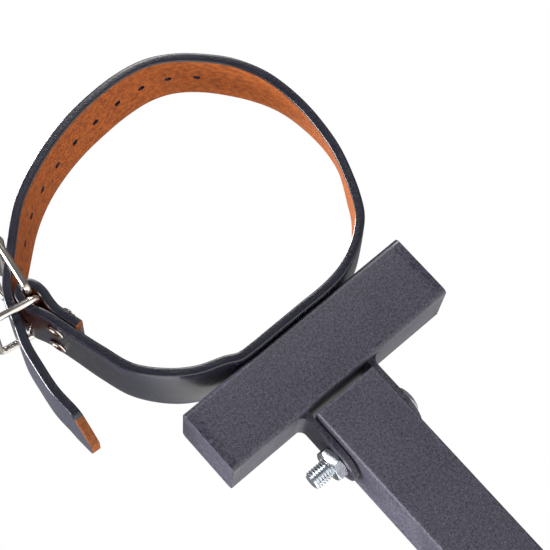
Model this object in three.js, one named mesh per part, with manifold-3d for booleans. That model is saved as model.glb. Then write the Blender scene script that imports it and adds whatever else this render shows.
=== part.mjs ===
// One tree climbing spur for the left boot, in millimetres, +Z up.
// Origin: centre of the stirrup tread's top face. The boot stands over +Z, the shank runs up the
// inner side of the leg at -Y, and the gaff points down and away from the boot. X is along the foot.
import * as THREE from 'three';
import { mergeVertices } from 'three/addons/utils/BufferGeometryUtils.js';
import Module from 'manifold-3d';

const wasm = await Module();
wasm.setup();

// ---- stirrup and tread ----
const treadSpan = 100;          // boot room between the two arms
const stirrupThick = 5;
const stirrupWide = 38;
const stirrupBend = 5;          // inside radius of the bends
const innerArmHigh = 64;
const outerArmHigh = 46;
const armCorner = 9;            // rounded upper corners of both arms
const grooveCount = 8;
const groovePitch = 10;
const grooveWide = 3;
const grooveDeep = 1;

// ---- shank: a lower tube that slides in an upper one ----
const lowerSize = 25;
const lowerWall = 2;
const lowerFoot = -5;           // lower end, level with the tread's underside
const lowerTop = 240;
const slideGap = 0.5;           // between the two tubes, on every side
const upperWall = 2;
const tubeCorner = 1.6;         // outside corner radius of the tubes
const upperFoot = 122;
const pivotHeight = 361.6;      // pivot bolt above the tread
const pivotDrop = 17;           // pivot bolt below the upper tube's end
const frontRound = 1.5;         // rounding of that end's front edge
const rearRound = 7;            // and of its rear edge, which the head turns over
const clampHeights = [146, 186];
const slideTravel = 25;         // each way from the middle

// ---- head: crossbar on two ears ----
const crossbarLength = 112.4;   // over the caps
const crossbarSize = 30;
const crossbarWall = 2;
const crossbarCorner = 2.4;
const crossbarShift = 2;        // crossbar's middle ahead of the shank
const capThick = 3.8;
const spigotDeep = 8;           // a plug's or cap's spigot inside its tube
const footPlate = 2;            // plate of the plug under the lower tube
const plugWall = 2;
const headGap = 3.4;            // between the shank's end and the crossbar
const earThick = 2.4;
const earWide = 21;
const earGap = 0.6;             // between the shank and each ear
const filletSize = 3.5;         // weld fillet at each ear's root

// ---- M8 and M5 hardware ----
const boltSize = 8;
const holeClearance = 0.25;     // on the radius
const headWide = 14;
const headHigh = 3.2;
const nutFlats = 13;
const nutHigh = 4.6;
const boltEnd = 8.8;            // thread left showing past the pivot nut
const shortEnd = 4;             // the same on the other bolts
const washerWide = 16;
const washerThick = 1.4;
const screwSize = 5;
const screwSpacing = 30;
const seat = 0.3;               // gap between pieces that rest on each other
const touch = 0.05;             // gap between a fastener and its seat

// ---- straps ----
const strapWide = 33;
const strapThick = 4;
const footStrapWide = 25;
const punchWide = 3.2;
const punchPitch = 12.7;
const punchCount = 12;
const footPunchCount = 5;
const footHinge = [-18, 102];   // the foot buckle's hinge bar, (Y, Z)
const footRivets = [18, 34];    // heights of the two rivets in the outer arm
const footRivetHigh = 74;       // height of the two rivets in the lower tube
const footRivetSpacing = 13;
const calfHinge = [-70.2, 76.6];   // the calf buckle's hinge bar, (X, Z) from the crossbar's top
const rivetHead = 8;
const rivetShank = 5.6;
const rivetHigh = 0.8;
const rivetBore = 4.2;
const rivetFit = 0.15;          // rivet to its hole, and head to leather
const rivetEdge = 7.5;          // a fold's rivet in from the strap's edge

// ---- buckle and keeper, bent from wire ----
const wire = 3;
const buckleRoom = 1.5;         // from the strap's edge to the wire
const buckleLong = 25;          // hinge bar to roller bar
const keeperLong = 20;
const rollerWide = 6;
const prongWire = 2.6;
const prongPlay = 0.9;          // around the prong in its hole, enough to rock
const eyeFit = 0.2;             // around the hinge bar, inside the prong's eye
const eyeWall = 1.2;

// ---- gaff ----
const gaffThick = 9;
const gaffWide = 20;
const gaffTop = 68;
const gaffTip = -36;
const gaffReach = 19;           // tip's distance out from the shank
const gaffBolts = [24, 50];

const upperInside = lowerSize + 2 * slideGap;
const upperSize = upperInside + 2 * upperWall;
const upperTop = pivotHeight + pivotDrop;
const shankY = -(treadSpan / 2 + stirrupThick + seat + lowerSize / 2);
const crossbarLow = pivotDrop + headGap;           // crossbar's underside above the pivot
const crossbarTop = crossbarLow + crossbarSize;
const slotWide = boltSize + 2 * holeClearance;
const hingeClear = wire / 2 + strapThick / 2;      // hinge bar to the middle of the leather round it
const eyeReach = wire / 2 + eyeFit + eyeWall;      // outside radius of the prong's eye
const keeperDrop = eyeReach + wire / 2 + seat;     // keeper's bar behind the hinge bar, in the same fold
const foldTurn = hingeClear + 1.2;                 // hinge bar to the middle of the fold's long leg
const overFold = foldTurn + strapThick + seat;            // hinge bar to the middle of a strap lying on the fold

const powderCoat = new THREE.MeshStandardMaterial({ color: 0x2b2a31, roughness: 0.62, metalness: 0.3 });
const blackPlastic = new THREE.MeshStandardMaterial({ color: 0x1d1d20, roughness: 0.55, metalness: 0 });
const zinc = new THREE.MeshStandardMaterial({ color: 0xc9cdd2, roughness: 0.3, metalness: 1 });
const nickel = new THREE.MeshStandardMaterial({ color: 0xc4bfb8, roughness: 0.22, metalness: 1 });
const gaffSteel = new THREE.MeshStandardMaterial({ color: 0x8d9096, roughness: 0.38, metalness: 1 });
const leather = new THREE.MeshStandardMaterial({ color: 0x23242c, roughness: 0.5, metalness: 0 });

// ---------- solids ----------

function solidOf(geometry) {
  const bare = geometry.clone();
  bare.deleteAttribute('normal');
  bare.deleteAttribute('uv');
  const merged = mergeVertices(bare, 1e-4);
  return new wasm.Manifold(new wasm.Mesh({
    numProp: 3,
    vertProperties: Float32Array.from(merged.attributes.position.array),
    triVerts: Uint32Array.from(merged.index.array),
  }));
}

function geometryOf(solid) {
  const mesh = solid.getMesh();
  const geometry = new THREE.BufferGeometry();
  geometry.setAttribute('position', new THREE.BufferAttribute(mesh.vertProperties, 3));
  geometry.setIndex(new THREE.BufferAttribute(mesh.triVerts, 1));
  geometry.computeVertexNormals();
  return geometry;
}

function cut(body, ...tools) {
  return geometryOf(tools.reduce((left, tool) => left.subtract(solidOf(tool)), solidOf(body)));
}

function join(first, ...others) {
  return geometryOf(others.reduce((sum, other) => sum.add(solidOf(other)), solidOf(first)));
}

function common(first, second) {
  return geometryOf(solidOf(first).intersect(solidOf(second)));
}

// A box given by its lowest and highest corners.
function block(low, high) {
  const size = high.map((value, axis) => value - low[axis]);
  const middle = high.map((value, axis) => (value + low[axis]) / 2);
  return new THREE.BoxGeometry(...size).translate(...middle);
}

// A round bar along X, Y or Z, from one station on that axis to another.
function bar(axis, radius, from, to, centre = [0, 0, 0], sides = 16) {
  const geometry = new THREE.CylinderGeometry(radius, radius, to - from, sides);
  if (axis === 'x') geometry.rotateZ(-Math.PI / 2);
  if (axis === 'z') geometry.rotateX(Math.PI / 2);
  const middle = (from + to) / 2;
  const place = { x: [middle, 0, 0], y: [0, middle, 0], z: [0, 0, middle] }[axis];
  return geometry.translate(...place.map((value, index) => value + centre[index]));
}

function roundedSquare(size, radius) {
  const half = size / 2;
  const shape = new THREE.Shape();
  shape.absarc(half - radius, half - radius, radius, 0, Math.PI / 2);
  shape.absarc(radius - half, half - radius, radius, Math.PI / 2, Math.PI);
  shape.absarc(radius - half, radius - half, radius, Math.PI, 1.5 * Math.PI);
  shape.absarc(half - radius, radius - half, radius, 1.5 * Math.PI, 2 * Math.PI);
  return shape;
}

// A square tube along Z from one height to another, open at both ends.
function squareTube(size, wall, corner, from, to) {
  const shape = roundedSquare(size, corner);
  shape.holes.push(roundedSquare(size - 2 * wall, Math.max(corner - wall, 0.4)));
  const options = { depth: to - from, bevelEnabled: false, curveSegments: 3 };
  const tube = new THREE.ExtrudeGeometry(shape, options);
  return tube.translate(0, 0, from);
}

// An outline drawn in (u, Z) and made solid across it: across X when u is Y, across Y when u is X.
function slab(shape, thick, across) {
  const options = { depth: thick, bevelEnabled: false, curveSegments: 6 };
  const geometry = new THREE.ExtrudeGeometry(shape, options).translate(0, 0, -thick / 2);
  geometry.rotateX(Math.PI / 2);
  return across === 'x' ? geometry.rotateZ(Math.PI / 2) : geometry;
}

// ---------- fasteners, along +X with the head's seat at 0 and the shank towards -X ----------

function domeBolt(shankLong, shankSize = boltSize, wide = headWide, high = headHigh) {
  const half = wide / 2;
  const profile = [[0, -shankLong], [shankSize / 2 - 0.6, -shankLong], [shankSize / 2, 0.6 - shankLong],
    [shankSize / 2, 0], [half, 0], [half, high * 0.3], [half * 0.86, high * 0.72],
    [half * 0.6, high], [0, high]];
  const points = profile.map(([radius, along]) => new THREE.Vector2(radius, along));
  const body = new THREE.LatheGeometry(points, 16).rotateZ(-Math.PI / 2);
  const socket = bar('x', half * 0.36, high * 0.35, high + 1, [0, 0, 0], 6);
  return cut(body, socket);
}

// A bolt's clearance hole through something.
function boltHole(axis, from, to, centre = [0, 0, 0]) {
  return bar(axis, boltSize / 2 + holeClearance, from, to, centre);
}

// A ring along X from 0 to -thick.
function washer(wide = washerWide, thick = washerThick, hole = boltSize / 2 + holeClearance) {
  return cut(bar('x', wide / 2, -thick, 0), bar('x', hole, -thick - 1, 1));
}

function hexNut(high = nutHigh) {
  const across = nutFlats / Math.cos(Math.PI / 6);
  const hexagon = bar('x', across / 2, -high, 0, [0, 0, 0], 6);
  const profile = [[0, -high], [nutFlats / 2, -high], [across / 2, 1 - high], [across / 2, -1],
    [nutFlats / 2, 0], [0, 0]].map(([radius, along]) => new THREE.Vector2(radius, along));
  const chamfer = new THREE.LatheGeometry(profile, 18).rotateZ(-Math.PI / 2);
  return cut(common(hexagon, chamfer), bar('x', boltSize / 2 + 0.05, -high - 1, 1));
}

// ---------- straps: routes in a plane, (u, Z) with the strap's width across it ----------

// The route's points are [u, z, roll], the roll being the strap's tilt about its own run, in degrees.
function strapStations(route, pitch) {
  const curve = new THREE.CatmullRomCurve3(route.map(([u, z, roll = 0]) => new THREE.Vector3(u, z, roll)));
  const flat = new THREE.CatmullRomCurve3(route.map(([u, z]) => new THREE.Vector3(u, z, 0)));
  const count = Math.round(flat.getLength() / pitch);
  const stations = [];
  for (let index = 0; index <= count; index += 1) {
    const at = flat.getUtoTmapping(index / count);
    const spot = curve.getPoint(at);
    const run = flat.getTangent(at);
    const roll = THREE.MathUtils.degToRad(spot.z);
    stations.push({ u: spot.x, z: spot.y, roll, runU: run.x, runZ: run.y });
  }
  return stations;
}

// A closed solid ribbon through the stations; its width lies along Y and its run in the XZ plane.
function ribbon(route, wide, thick, pitch = 5) {
  const stations = strapStations(route, pitch);
  const corners = [[-1, -1], [1, -1], [1, 1], [-1, 1]];
  const positions = [];
  for (const { u, z, roll, runU, runZ } of stations) {
    for (const [side, face] of corners) {
      const across = side * wide / 2 * Math.cos(roll) - face * thick / 2 * Math.sin(roll);
      const out = side * wide / 2 * Math.sin(roll) + face * thick / 2 * Math.cos(roll);
      positions.push(u - runZ * out, across, z + runU * out);
    }
  }
  const faces = [0, 1, 2, 0, 2, 3];
  for (let row = 0; row < stations.length - 1; row += 1) {
    for (let edge = 0; edge < 4; edge += 1) {
      const a = row * 4 + edge;
      const b = row * 4 + (edge + 1) % 4;
      faces.push(a, a + 4, b, b, a + 4, b + 4);
    }
  }
  const last = (stations.length - 1) * 4;
  faces.push(last, last + 2, last + 1, last, last + 3, last + 2);
  const geometry = new THREE.BufferGeometry();
  geometry.setAttribute('position', new THREE.Float32BufferAttribute(positions, 3));
  geometry.setIndex(faces);
  const solid = solidOf(geometry);
  return solid.volume() > 0 ? geometryOf(solid) : geometryOf(solidOf(flipped(geometry)));
}

function flipped(geometry) {
  const turned = geometry.clone();
  const index = Array.from(turned.index.array);
  for (let at = 0; at < index.length; at += 3) [index[at], index[at + 1]] = [index[at + 1], index[at]];
  turned.setIndex(index);
  return turned;
}

// The place and outward direction on a route at a distance from its far end.
function spotFromEnd(route, distance) {
  const curve = new THREE.CatmullRomCurve3(route.map(([u, z]) => new THREE.Vector3(u, z, 0)));
  const part = 1 - distance / curve.getLength();
  const spot = curve.getPointAt(part);
  const run = curve.getTangentAt(part);
  return { u: spot.x, z: spot.y, angle: Math.atan2(run.y, run.x) };
}

// A drill across a strap's thickness, for a hole or a rivet.
function drill({ u, z, angle }, radius, reach, y = 0, sides = 10) {
  return bar('z', radius, -reach, reach, [0, 0, 0], sides).rotateY(-angle).translate(u, y, z);
}

// ---------- buckle: hinge bar at the origin, roller towards +X, outside of the strap towards +Z ----------

// A closed rectangle of wire in the XY plane, its first bar along Y through the origin.
function wireLoop(long, wide, corner = 3, sides = 8) {
  const path = [];
  const centres = [[corner, wide / 2 - corner, 1], [corner, corner - wide / 2, 2],
    [long - corner, corner - wide / 2, 3], [long - corner, wide / 2 - corner, 0]];
  for (const [x, y, quarter] of centres) {
    for (let step = 0; step <= 3; step += 1) {
      const turn = (quarter + step / 3) * Math.PI / 2;
      path.push([x + corner * Math.cos(turn), y + corner * Math.sin(turn), turn]);
    }
  }
  const positions = [];
  for (const [x, y, turn] of path) {
    for (let side = 0; side < sides; side += 1) {
      const around = side / sides * 2 * Math.PI;
      const out = wire / 2 * Math.cos(around);
      positions.push(x + out * Math.cos(turn), y + out * Math.sin(turn), wire / 2 * Math.sin(around));
    }
  }
  const faces = [];
  for (let row = 0; row < path.length; row += 1) {
    const next = (row + 1) % path.length;
    for (let side = 0; side < sides; side += 1) {
      const beside = (side + 1) % sides;
      const [a, b] = [row * sides + side, row * sides + beside];
      const [c, d] = [next * sides + beside, next * sides + side];
      faces.push(a, d, b, b, d, c);
    }
  }
  const geometry = new THREE.BufferGeometry();
  geometry.setAttribute('position', new THREE.Float32BufferAttribute(positions, 3));
  geometry.setIndex(faces);
  return solidOf(geometry).volume() > 0 ? geometry : flipped(geometry);
}

// The prong leaves its eye, rises through the strap's hole and comes down on the roller.
const prongRoute = [[2, 2], [4, 4.2], [6.2, 6.2], [9.5, 7.7], [14, 7.3], [20, 5.8], [27.5, 4.7]];
const prongHole = [6, 5.7];

function prongWireAt(radius) {
  const section = new THREE.Shape();
  section.absarc(0, 0, radius, 0, 2 * Math.PI);
  const path = new THREE.CatmullRomCurve3(prongRoute.map(([x, z]) => new THREE.Vector3(x, 0, z)));
  return new THREE.ExtrudeGeometry(section, { steps: 10, extrudePath: path, curveSegments: 4 });
}

function prong() {
  const inside = wire / 2 + eyeFit;
  const eye = cut(bar('y', eyeReach, -prongWire / 2, prongWire / 2), bar('y', inside, -9, 9));
  return cut(join(eye, prongWireAt(prongWire / 2)), bar('y', inside, -9, 9));
}

function roller(wide) {
  return cut(bar('y', rollerWide / 2, -wide / 2, wide / 2, [buckleLong, 0, 0]),
    bar('y', wire / 2 + 0.2, -wide, wide, [buckleLong, 0, 0]));
}

// ---------- the fold that holds the buckle and keeper, the same on both straps ----------

// Short leg, turn and long leg, about the hinge bar: run towards +u, outside of the strap +n.
const foldMiddle = 1.4;         // where the two legs meet, side by side at the rivets
const foldLegs = [-1, 1].map((side) => foldMiddle + side * (strapThick + 0.2) / 2);
const foldRoute = [[-24, foldLegs[0]], [-18, foldLegs[0]], [-keeperDrop - 7.8, foldLegs[0]],
  [-keeperDrop - 3.3, 1.5 - hingeClear], [-keeperDrop + 0.2, 0.1 - hingeClear], [-0.5, -hingeClear - 0.45],
  [hingeClear - 0.7, 0.6 - hingeClear], [hingeClear + 0.5, 0.1], [hingeClear - 0.9, hingeClear - 0.5],
  [-0.5, hingeClear + 0.8], [-keeperDrop - 0.3, foldTurn], [-keeperDrop - 4.3, hingeClear + 0.5],
  [-keeperDrop - 8.3, foldLegs[1]], [-18, foldLegs[1]], [-24, foldLegs[1]]];
const keeperBar = [-keeperDrop, 0.8];
const rivetAlong = -keeperDrop - 11.7;
const rivetSpan = [foldLegs[0] - strapThick / 2, foldLegs[1] + strapThick / 2];

// Turns a point about the hinge bar into the strap's plane.
function placed([u, n], { at, degrees }) {
  const turn = THREE.MathUtils.degToRad(degrees);
  return [at[0] + u * Math.cos(turn) - n * Math.sin(turn), at[1] + u * Math.sin(turn) + n * Math.cos(turn)];
}

function inPlane(geometry, { at, degrees }) {
  return geometry.rotateY(-THREE.MathUtils.degToRad(degrees)).translate(at[0], 0, at[1]);
}

function foldedRoute(fold, rest) {
  return foldRoute.map((point) => placed(point, fold)).concat(rest);
}

// Room in the fold for the prong's eye, and a drill for each rivet.
function foldCuts(fold, wide) {
  const low = -eyeReach - seat;
  const half = prongWire / 2 + 0.6;
  const opening = block([low, -half, low], [8, half, 8]);
  const holes = rivetSides(wide).map((y) => inPlane(rivetHole('z', -9, 9, [rivetAlong, y, 0]), fold));
  return [inPlane(opening, fold), ...holes];
}

function rivetSides(wide) {
  return [-1, 1].map((side) => side * (wide / 2 - rivetEdge));
}

function rivetHole(axis, from, to, centre) {
  return bar(axis, rivetShank / 2 + rivetFit, from, to, centre, 12);
}

// A tubular rivet along Z, its head's seat just over the upper station, its end past the burr.
function rivet(low, high) {
  const seatAt = high + rivetFit;
  const head = bar('z', rivetHead / 2, seatAt, seatAt + rivetHigh, [0, 0, 0], 12);
  const post = bar('z', rivetShank / 2, low - rivetFit - rivetHigh - 0.6, seatAt + 0.1, [0, 0, 0], 12);
  return cut(join(head, post), bar('z', rivetBore / 2, low - 9, high + 9, [0, 0, 0], 12));
}

function burr(low) {
  const seatAt = low - rivetFit;
  return cut(bar('z', rivetHead / 2, seatAt - rivetHigh, seatAt, [0, 0, 0], 12),
    bar('z', rivetShank / 2 + 0.05, low - 9, low + 9, [0, 0, 0], 12));
}

// How far a point on a route is from the route's far end.
function distanceFromEnd(route, [u, z]) {
  const curve = new THREE.CatmullRomCurve3(route.map(([x, y]) => new THREE.Vector3(x, y, 0)));
  const long = curve.getLength();
  const target = new THREE.Vector3(u, z, 0);
  let nearest = 0;
  for (let distance = 0; distance < long / 2; distance += 0.25) {
    const here = curve.getPointAt(1 - distance / long).distanceTo(target);
    const best = curve.getPointAt(1 - nearest / long).distanceTo(target);
    if (here < best) nearest = distance;
  }
  return nearest;
}

// The row of punched holes, one of them where the prong goes through, and the prong's own way.
function punchCuts(route, buckle, count) {
  const first = distanceFromEnd(route, placed(prongHole, buckle));
  const cuts = [inPlane(prongWireAt(prongWire / 2 + prongPlay), buckle)];
  for (let index = 0; index < count; index += 1) {
    cuts.push(drill(spotFromEnd(route, first + index * punchPitch), punchWide / 2, 4));
  }
  return cuts;
}

// ---------- the object ----------

const spur = new THREE.Group();

function add(group, name, geometry, material) {
  const mesh = new THREE.Mesh(geometry, material);
  mesh.name = name;
  group.add(mesh);
}

function addBuckle(group, name, wide, buckle, keeper) {
  const across = wide + 2 * buckleRoom + wire;
  add(group, `${name}_buckle_frame`, inPlane(wireLoop(buckleLong, across), buckle), nickel);
  add(group, `${name}_buckle_roller`, inPlane(roller(across - wire - 4), buckle), nickel);
  add(group, `${name}_buckle_prong`, inPlane(prong(), buckle), nickel);
  add(group, `${name}_keeper_ring`, inPlane(wireLoop(keeperLong, across), keeper), nickel);
}

function addFoldRivets(group, name, wide, fold) {
  ['near', 'far'].forEach((which, index) => {
    const shift = [rivetAlong, rivetSides(wide)[index], 0];
    const post = rivet(...rivetSpan).translate(...shift);
    add(group, `${name}_rivet_${which}`, inPlane(post, fold), nickel);
    add(group, `${name}_burr_${which}`, inPlane(burr(rivetSpan[0]).translate(...shift), fold), nickel);
  });
}

// -- stirrup, gaff and the lower tube --

function stirrup() {
  const half = treadSpan / 2;
  const outside = stirrupBend + stirrupThick;
  const shape = new THREE.Shape();
  shape.moveTo(-half, innerArmHigh);
  shape.lineTo(-half - stirrupThick, innerArmHigh);
  shape.absarc(-half + stirrupBend, stirrupBend, outside, Math.PI, 1.5 * Math.PI);
  shape.absarc(half - stirrupBend, stirrupBend, outside, 1.5 * Math.PI, 2 * Math.PI);
  shape.lineTo(half + stirrupThick, outerArmHigh);
  shape.lineTo(half, outerArmHigh);
  shape.absarc(half - stirrupBend, stirrupBend, stirrupBend, 0, -Math.PI / 2, true);
  shape.absarc(-half + stirrupBend, stirrupBend, stirrupBend, -Math.PI / 2, -Math.PI, true);
  const bent = slab(shape, stirrupWide, 'x');
  const cuts = gaffBolts.map((height) => boltHole('y', -half - 9, -half + 4, [0, 0, height]));
  for (const height of footRivets) cuts.push(rivetHole('y', half - 4, half + 9, [0, 0, height]));
  for (let index = 0; index < grooveCount; index += 1) {
    const row = index < grooveCount / 2 ? index - grooveCount / 2 : index - grooveCount / 2 + 1;
    const middle = row * groovePitch;
    cuts.push(block([-stirrupWide, middle - grooveWide / 2, -grooveDeep],
      [stirrupWide, middle + grooveWide / 2, 1]));
  }
  for (const side of [-1, 1]) {
    cuts.push(armCornerCut(side, -half - stirrupThick - 1, -half + 1, innerArmHigh));
    cuts.push(armCornerCut(side, half - 1, half + stirrupThick + 1, outerArmHigh));
  }
  return cut(bent, ...cuts);
}

// The waste outside one rounded upper corner of an arm.
function armCornerCut(side, from, to, high) {
  const edge = stirrupWide / 2;
  const waste = block([side < 0 ? -edge - 1 : edge - armCorner, from, high - armCorner],
    [side < 0 ? -edge + armCorner : edge + 1, to, high + 1]);
  const centre = [side * (edge - armCorner), 0, high - armCorner];
  return cut(waste, bar('y', armCorner, from - 1, to + 1, centre));
}

function gaff() {
  const back = shankY - lowerSize / 2 - seat;
  const outline = [[0, gaffTop], [0, 4], [2.5, -8], [8, -22], [gaffReach - 1, gaffTip],
    [gaffReach, gaffTip + 1], [gaffReach - 0.6, -20], [15.5, -6], [11.5, 5], [gaffThick, 14],
    [gaffThick, gaffTop - 6], [5, gaffTop]];
  const side = new THREE.Shape(outline.map(([out, z]) => new THREE.Vector2(back - out, z)));
  const half = gaffWide / 2;
  const front = new THREE.Shape();
  front.moveTo(-half, 6);
  front.quadraticCurveTo(-half + 1, -18, -1.2, gaffTip - 0.5);
  front.lineTo(1.2, gaffTip - 0.5);
  front.quadraticCurveTo(half - 1, -18, half, 6);
  front.lineTo(half, gaffTop - 4);
  front.quadraticCurveTo(half, gaffTop, half - 4, gaffTop);
  front.lineTo(-half + 4, gaffTop);
  front.quadraticCurveTo(-half, gaffTop, -half, gaffTop - 4);
  const spike = common(slab(side, gaffWide + 4, 'x'), slab(front, 400, 'y'));
  return cut(spike, ...gaffBolts.map((z) => boltHole('y', back - 12, back + 2, [0, 0, z])));
}

function lowerTube() {
  const half = lowerSize / 2;
  const tube = squareTube(lowerSize, lowerWall, tubeCorner, lowerFoot + footPlate, lowerTop);
  tube.translate(0, shankY, 0);
  const low = clampHeights[0] - slideTravel;
  const high = clampHeights[1] + slideTravel;
  const slot = block([-half - 1, shankY - slotWide / 2, low], [half + 1, shankY + slotWide / 2, high]);
  const ends = [low, high].map((z) => bar('x', slotWide / 2, -half - 1, half + 1, [0, shankY, z]));
  const holes = gaffBolts.map((z) => boltHole('y', shankY - half - 1, shankY + half + 1, [0, 0, z]));
  const rivets = [-1, 1].map((side) => rivetHole('y', shankY, shankY + half + 1,
    [side * footRivetSpacing / 2, 0, footRivetHigh]));
  return cut(tube, slot, ...ends, ...holes, ...rivets);
}

// An end plug: a plate over the tube's end, below Z 0, and a spigot inside it.
function plug(size, wall, thick, corner) {
  const options = { depth: thick, bevelEnabled: false, curveSegments: 3 };
  const plate = new THREE.ExtrudeGeometry(roundedSquare(size, corner), options);
  const half = size / 2 - wall - seat;
  const room = half - plugWall;
  const spigot = cut(block([-half, -half, -0.5], [half, half, spigotDeep]),
    block([-room, -room, 0], [room, room, spigotDeep + 1]));
  return join(plate.translate(0, 0, -thick), spigot);
}

// -- foot strap, drawn in (Y, Z) with its width across X --

const footFold = { at: footHinge, degrees: 26 };
const footBuckle = { at: footHinge, degrees: 12 };
const footKeeper = { at: placed(keeperBar, footFold), degrees: 89 };
const armFace = treadSpan / 2 + stirrupThick + seat + strapThick / 2;
const tubeFace = shankY + lowerSize / 2 + seat + strapThick / 2;

// Up from the tube's face to the fold; and up from the outer arm, over the boot and outside the fold.
const footShortRoute = foldedRoute(footFold, [[-48.6, 92], [tubeFace + 0.8, 86], [tubeFace, 81],
  [tubeFace, 74], [tubeFace, 67]]);
const footOver = footHinge[1] + overFold;
const footLongRoute = [[armFace, 8], [armFace, 18], [armFace, 28], [armFace, 38], [armFace, 48],
  [armFace - 1.6, 58], [armFace - 6.3, 70], [armFace - 16.8, 82.5], [armFace - 28.8, 90.5], [16, 96],
  [7.9, 100], [-1, footOver - 6.9], [-8.9, footOver - 3.1], [-19.7, footOver + 0.7],
  [-31.7, footOver - 0.7], [-42, footOver - 5]];

function footShortStrap() {
  const cuts = foldCuts(footFold, footStrapWide);
  for (const side of [-1, 1]) {
    cuts.push(rivetHole('x', tubeFace - 6, tubeFace + 6, [0, side * footRivetSpacing / 2, footRivetHigh]));
  }
  return cut(ribbon(footShortRoute, footStrapWide, strapThick, 2.4), ...cuts);
}

function footLongStrap() {
  const holes = footRivets.map((z) => rivetHole('x', armFace - 6, armFace + 6, [0, 0, z]));
  const punched = punchCuts(footLongRoute, footBuckle, footPunchCount);
  return cut(ribbon(footLongRoute, footStrapWide, strapThick), ...punched, ...holes);
}

const foot = new THREE.Group();
spur.add(foot);

add(foot, 'lower_shank', lowerTube(), powderCoat);
const footPlug = plug(lowerSize, lowerWall, footPlate - touch, tubeCorner);
add(foot, 'lower_shank_plug', footPlug.translate(0, shankY, lowerFoot + footPlate - touch), blackPlastic);
add(foot, 'stirrup', stirrup(), powderCoat);
add(foot, 'gaff', gaff(), gaffSteel);

const gaffFace = shankY - lowerSize / 2 - seat - gaffThick;
gaffBolts.forEach((height, index) => {
  const which = ['low', 'high'][index];
  const nutSeat = gaffFace - touch - washerThick - touch;
  const long = -treadSpan / 2 - (nutSeat - nutHigh - shortEnd);
  const bolt = domeBolt(long).rotateZ(Math.PI / 2).translate(0, -treadSpan / 2 + touch, height);
  const ring = washer().rotateZ(Math.PI / 2).translate(0, gaffFace - touch, height);
  const nut = hexNut().rotateZ(Math.PI / 2).translate(0, nutSeat, height);
  add(foot, `gaff_bolt_${which}`, bolt, zinc);
  add(foot, `gaff_washer_${which}`, ring, zinc);
  add(foot, `gaff_nut_${which}`, nut, zinc);
});

const footStraps = new THREE.Group();
footStraps.rotation.z = Math.PI / 2;
foot.add(footStraps);
add(footStraps, 'foot_strap_long', footLongStrap(), leather);
add(footStraps, 'foot_strap_short', footShortStrap(), leather);
addFoldRivets(footStraps, 'foot', footStrapWide, footFold);
addBuckle(footStraps, 'foot', footStrapWide, footBuckle, footKeeper);

// Rivets that hold the two foot straps: through the outer arm, and through the lower tube's wall.
footRivets.forEach((height, index) => {
  const inner = treadSpan / 2 - armFace;
  const post = rivet(inner, strapThick / 2).rotateY(Math.PI / 2).translate(armFace, 0, height);
  add(footStraps, `arm_rivet_${['low', 'high'][index]}`, post, nickel);
});
['front', 'rear'].forEach((which, index) => {
  const inner = -strapThick / 2 - seat - lowerWall;
  const side = (index - 0.5) * footRivetSpacing;
  const post = rivet(inner, strapThick / 2).rotateY(Math.PI / 2).translate(tubeFace, side, footRivetHigh);
  add(footStraps, `tube_rivet_${which}`, post, nickel);
});

// -- upper tube, with the clamp bolts and the pivot --

// The shank's side view in (Y, Z) as far up as its rounded end, or as far as `inset` inside that.
function shankSide(inset) {
  const half = upperSize / 2;
  const side = new THREE.Shape();
  side.moveTo(-half - 1, upperFoot - 1);
  side.lineTo(half + 1, upperFoot - 1);
  side.lineTo(half + 1, upperTop - 2 * rearRound);
  side.lineTo(half - inset, upperTop - 2 * rearRound);
  side.absarc(half - rearRound, upperTop - rearRound, rearRound - inset, 0, Math.PI / 2);
  side.absarc(frontRound - half, upperTop - frontRound, frontRound - inset, Math.PI / 2, Math.PI);
  side.lineTo(inset - half, upperTop - 2 * rearRound);
  side.lineTo(-half - 1, upperTop - 2 * rearRound);
  return slab(side, upperSize + 8, 'x');
}

function upperTube() {
  const half = upperSize / 2;
  const tube = squareTube(upperSize, upperWall, tubeCorner, upperFoot, upperTop);
  const holes = [...clampHeights, pivotHeight].map((z) => boltHole('x', -half - 1, half + 1, [0, 0, z]));
  return cut(common(tube, shankSide(0)), ...holes);
}

function shankPlug() {
  const half = upperInside / 2 - seat;
  const room = half - plugWall;
  const full = block([-half, -half, upperTop - spigotDeep - 1], [half, half, upperTop]);
  const hollow = block([-room, -room, upperTop - spigotDeep - 2], [room, room, upperTop - plugWall - 1]);
  return cut(common(full, shankSide(1)), hollow);
}

const shank = new THREE.Group();
shank.position.y = shankY;
spur.add(shank);

add(shank, 'shank_tube', upperTube(), powderCoat);
add(shank, 'shank_plug', shankPlug(), blackPlastic);

clampHeights.forEach((height, index) => {
  const which = ['low', 'high'][index];
  const half = upperSize / 2;
  const seatAt = half + 2 * touch + washerThick;
  const long = 2 * seatAt + nutHigh + shortEnd;
  add(shank, `clamp_bolt_${which}`, domeBolt(long).translate(seatAt, 0, height), zinc);
  add(shank, `clamp_washer_${which}_head`, washer().translate(half + touch + washerThick, 0, height), zinc);
  add(shank, `clamp_washer_${which}_nut`, washer().translate(-half - touch, 0, height), zinc);
  add(shank, `clamp_nut_${which}`, hexNut().translate(-seatAt, 0, height), zinc);
});

const earInside = upperSize / 2 + earGap;
const earOutside = earInside + earThick;
const pivotLong = 2 * earOutside + 2 * touch + nutHigh + boltEnd;
add(shank, 'pivot_bolt', domeBolt(pivotLong).translate(earOutside + touch, 0, pivotHeight), zinc);
add(shank, 'pivot_nut', hexNut().translate(-earOutside - touch, 0, pivotHeight), zinc);
const bush = cut(bar('x', boltSize / 2 + 2, -upperInside / 2 + seat, upperInside / 2 - seat),
  boltHole('x', -upperSize, upperSize));
add(shank, 'pivot_bush', bush.translate(0, 0, pivotHeight), zinc);

// -- head: turns on the pivot bolt --

const head = new THREE.Group();
head.position.set(0, shankY, pivotHeight);
spur.add(head);

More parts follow.
